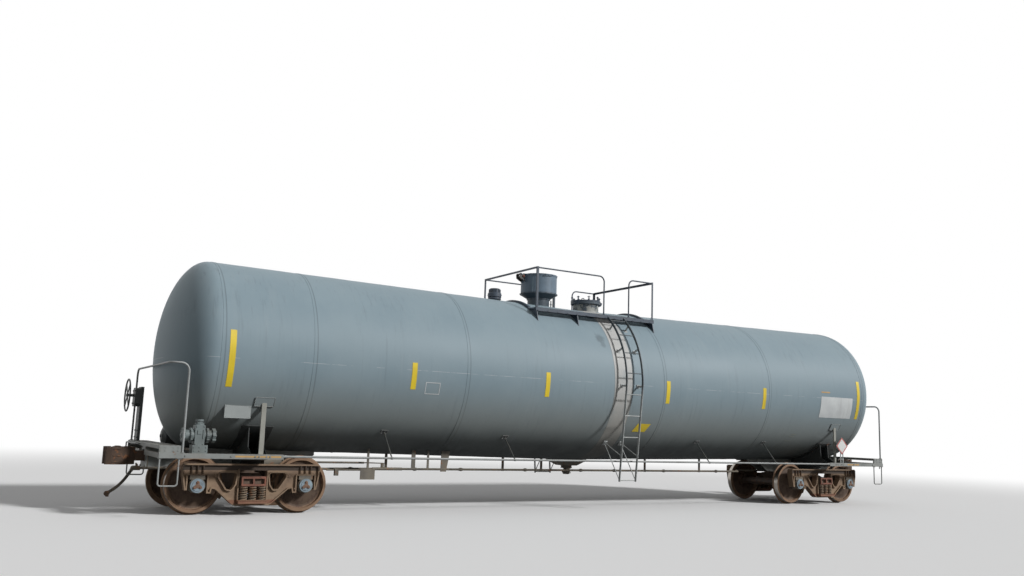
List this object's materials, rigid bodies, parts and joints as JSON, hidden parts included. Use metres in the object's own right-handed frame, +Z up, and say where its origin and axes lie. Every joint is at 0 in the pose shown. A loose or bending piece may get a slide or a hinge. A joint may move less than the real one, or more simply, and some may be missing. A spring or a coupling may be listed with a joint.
{
  "type": "railway tank car",
  "caption": "Insulated railway tank car with a cylindrical jacket, stub sills, two four-wheel trucks, end platforms, side ladders and a railed top platform.",
  "frame": {"origin": "on the ground plane below the middle of the car, at the height of the lowest point of the wheel flanges", "axes": "+X along the car towards end a, +Y to the left of someone facing +X, +Z up"},
  "size_m": [18.19, 3.57, 4.8594],
  "materials": {
    "tank_paint": "blue-grey paint, dusty and streaked",
    "frame_paint": "grey paint, dusty",
    "rail_paint": "light grey paint",
    "ladder_paint": "light grey paint",
    "housing_paint": "blue-grey paint with rust",
    "valve_metal": "bare casting, weathered",
    "brake_iron": "dark iron, dusty",
    "coupler_iron": "rusted casting",
    "truck_iron": "dusty brown casting",
    "spring_steel": "weathered steel coils",
    "bearing_paint": "worn grey paint",
    "wheel_steel": "brown rust, bright tread",
    "axle_steel": "grey steel, end caps in bluish paint",
    "hose_rubber": "black rubber, dusty",
    "sign_paint": "blank white and grey plates"
  },
  "bodies": {
    "car": {"tank_jacket": "tank_paint", "stub_sill_a": "frame_paint", "stub_sill_b": "frame_paint", "body_bolster_a": "frame_paint", "body_bolster_b": "frame_paint", "side_sills": "frame_paint", "end_platform_a": "frame_paint", "end_platform_b": "frame_paint", "sill_steps": "rail_paint", "end_rails": "rail_paint", "side_handrails": "rail_paint", "handrail_struts": "rail_paint", "ladder_stiles": "ladder_paint", "ladder_rungs": "ladder_paint", "ladder_braces": "ladder_paint", "top_platform": "frame_paint", "top_railing": "rail_paint", "valve_housing": "housing_paint", "housing_valves": "valve_metal", "manway_nozzle": "housing_paint", "relief_valve": "housing_paint", "bottom_outlet": "valve_metal", "control_valve": "brake_iron", "air_reservoir": "brake_iron", "reservoir_carrier": "frame_paint", "brake_cylinder": "brake_iron", "brake_pipe": "brake_iron", "train_hose_a": "hose_rubber", "train_hose_b": "hose_rubber", "hose_coupling_a": "coupler_iron", "hose_coupling_b": "coupler_iron", "hand_brake": "rail_paint", "uncoupling_levers": "rail_paint", "sign_holders": "sign_paint"},
    "truck_a": {"side_frames_a": "truck_iron", "truck_bolster_a": "truck_iron", "truck_springs_a": "spring_steel", "bearings_a": "bearing_paint", "brake_beams_a": "truck_iron"},
    "truck_b": {"side_frames_b": "truck_iron", "truck_bolster_b": "truck_iron", "truck_springs_b": "spring_steel", "bearings_b": "bearing_paint", "brake_beams_b": "truck_iron"},
    "wheelset_a1": {"wheels_a1": "wheel_steel", "axle_a1": "axle_steel"},
    "wheelset_a2": {"wheels_a2": "wheel_steel", "axle_a2": "axle_steel"},
    "wheelset_b1": {"wheels_b1": "wheel_steel", "axle_b1": "axle_steel"},
    "wheelset_b2": {"wheels_b2": "wheel_steel", "axle_b2": "axle_steel"},
    "coupler_a": {"coupler_a": "coupler_iron"},
    "coupler_b": {"coupler_b": "coupler_iron"},
    "knuckle_a": {"knuckle_a": "coupler_iron"},
    "knuckle_b": {"knuckle_b": "coupler_iron"},
    "housing_lid": {"housing_lid": "housing_paint"},
    "manway_cover": {"manway_cover": "housing_paint"}
  },
  "joints": [
    {"name": "truck_a_swivel", "type": "hinge", "parent": "car", "child": "truck_a", "pos_m": [6.92, 0, 0.6881], "axis": [0, 0, 1], "range_deg": [-7, 7]},
    {"name": "truck_b_swivel", "type": "hinge", "parent": "car", "child": "truck_b", "pos_m": [-6.92, 0, 0.6881], "axis": [0, 0, 1], "range_deg": [-7, 7]},
    {"name": "wheelset_a1_spin", "type": "hinge", "parent": "truck_a", "child": "wheelset_a1", "pos_m": [6.031, 0, 0.4858], "axis": [0, 1, 0], "continuous": true},
    {"name": "wheelset_a2_spin", "type": "hinge", "parent": "truck_a", "child": "wheelset_a2", "pos_m": [7.809, 0, 0.4858], "axis": [0, 1, 0], "continuous": true},
    {"name": "wheelset_b1_spin", "type": "hinge", "parent": "truck_b", "child": "wheelset_b1", "pos_m": [-7.809, 0, 0.4858], "axis": [0, 1, 0], "continuous": true},
    {"name": "wheelset_b2_spin", "type": "hinge", "parent": "truck_b", "child": "wheelset_b2", "pos_m": [-6.031, 0, 0.4858], "axis": [0, 1, 0], "continuous": true},
    {"name": "coupler_a_swing", "type": "hinge", "parent": "car", "child": "coupler_a", "pos_m": [7.95, 0, 0.9046], "axis": [0, 0, 1], "range_deg": [-7, 7]},
    {"name": "knuckle_a_open", "type": "hinge", "parent": "coupler_a", "child": "knuckle_a", "pos_m": [8.87, -0.14, 0.9046], "axis": [0, 0, -1], "range_deg": [0, 40]},
    {"name": "coupler_b_swing", "type": "hinge", "parent": "car", "child": "coupler_b", "pos_m": [-7.95, 0, 0.9046], "axis": [0, 0, 1], "range_deg": [-7, 7]},
    {"name": "knuckle_b_open", "type": "hinge", "parent": "coupler_b", "child": "knuckle_b", "pos_m": [-8.87, 0.14, 0.9046], "axis": [0, 0, -1], "range_deg": [0, 40]},
    {"name": "housing_lid_open", "type": "hinge", "parent": "car", "child": "housing_lid", "pos_m": [-1.265, 0, 4.8116], "axis": [0, -1, 0], "range_deg": [0, 100]},
    {"name": "manway_cover_open", "type": "hinge", "parent": "car", "child": "manway_cover", "pos_m": [0.858, 0, 4.3796], "axis": [0, 1, 0], "range_deg": [0, 105]}
  ]
}
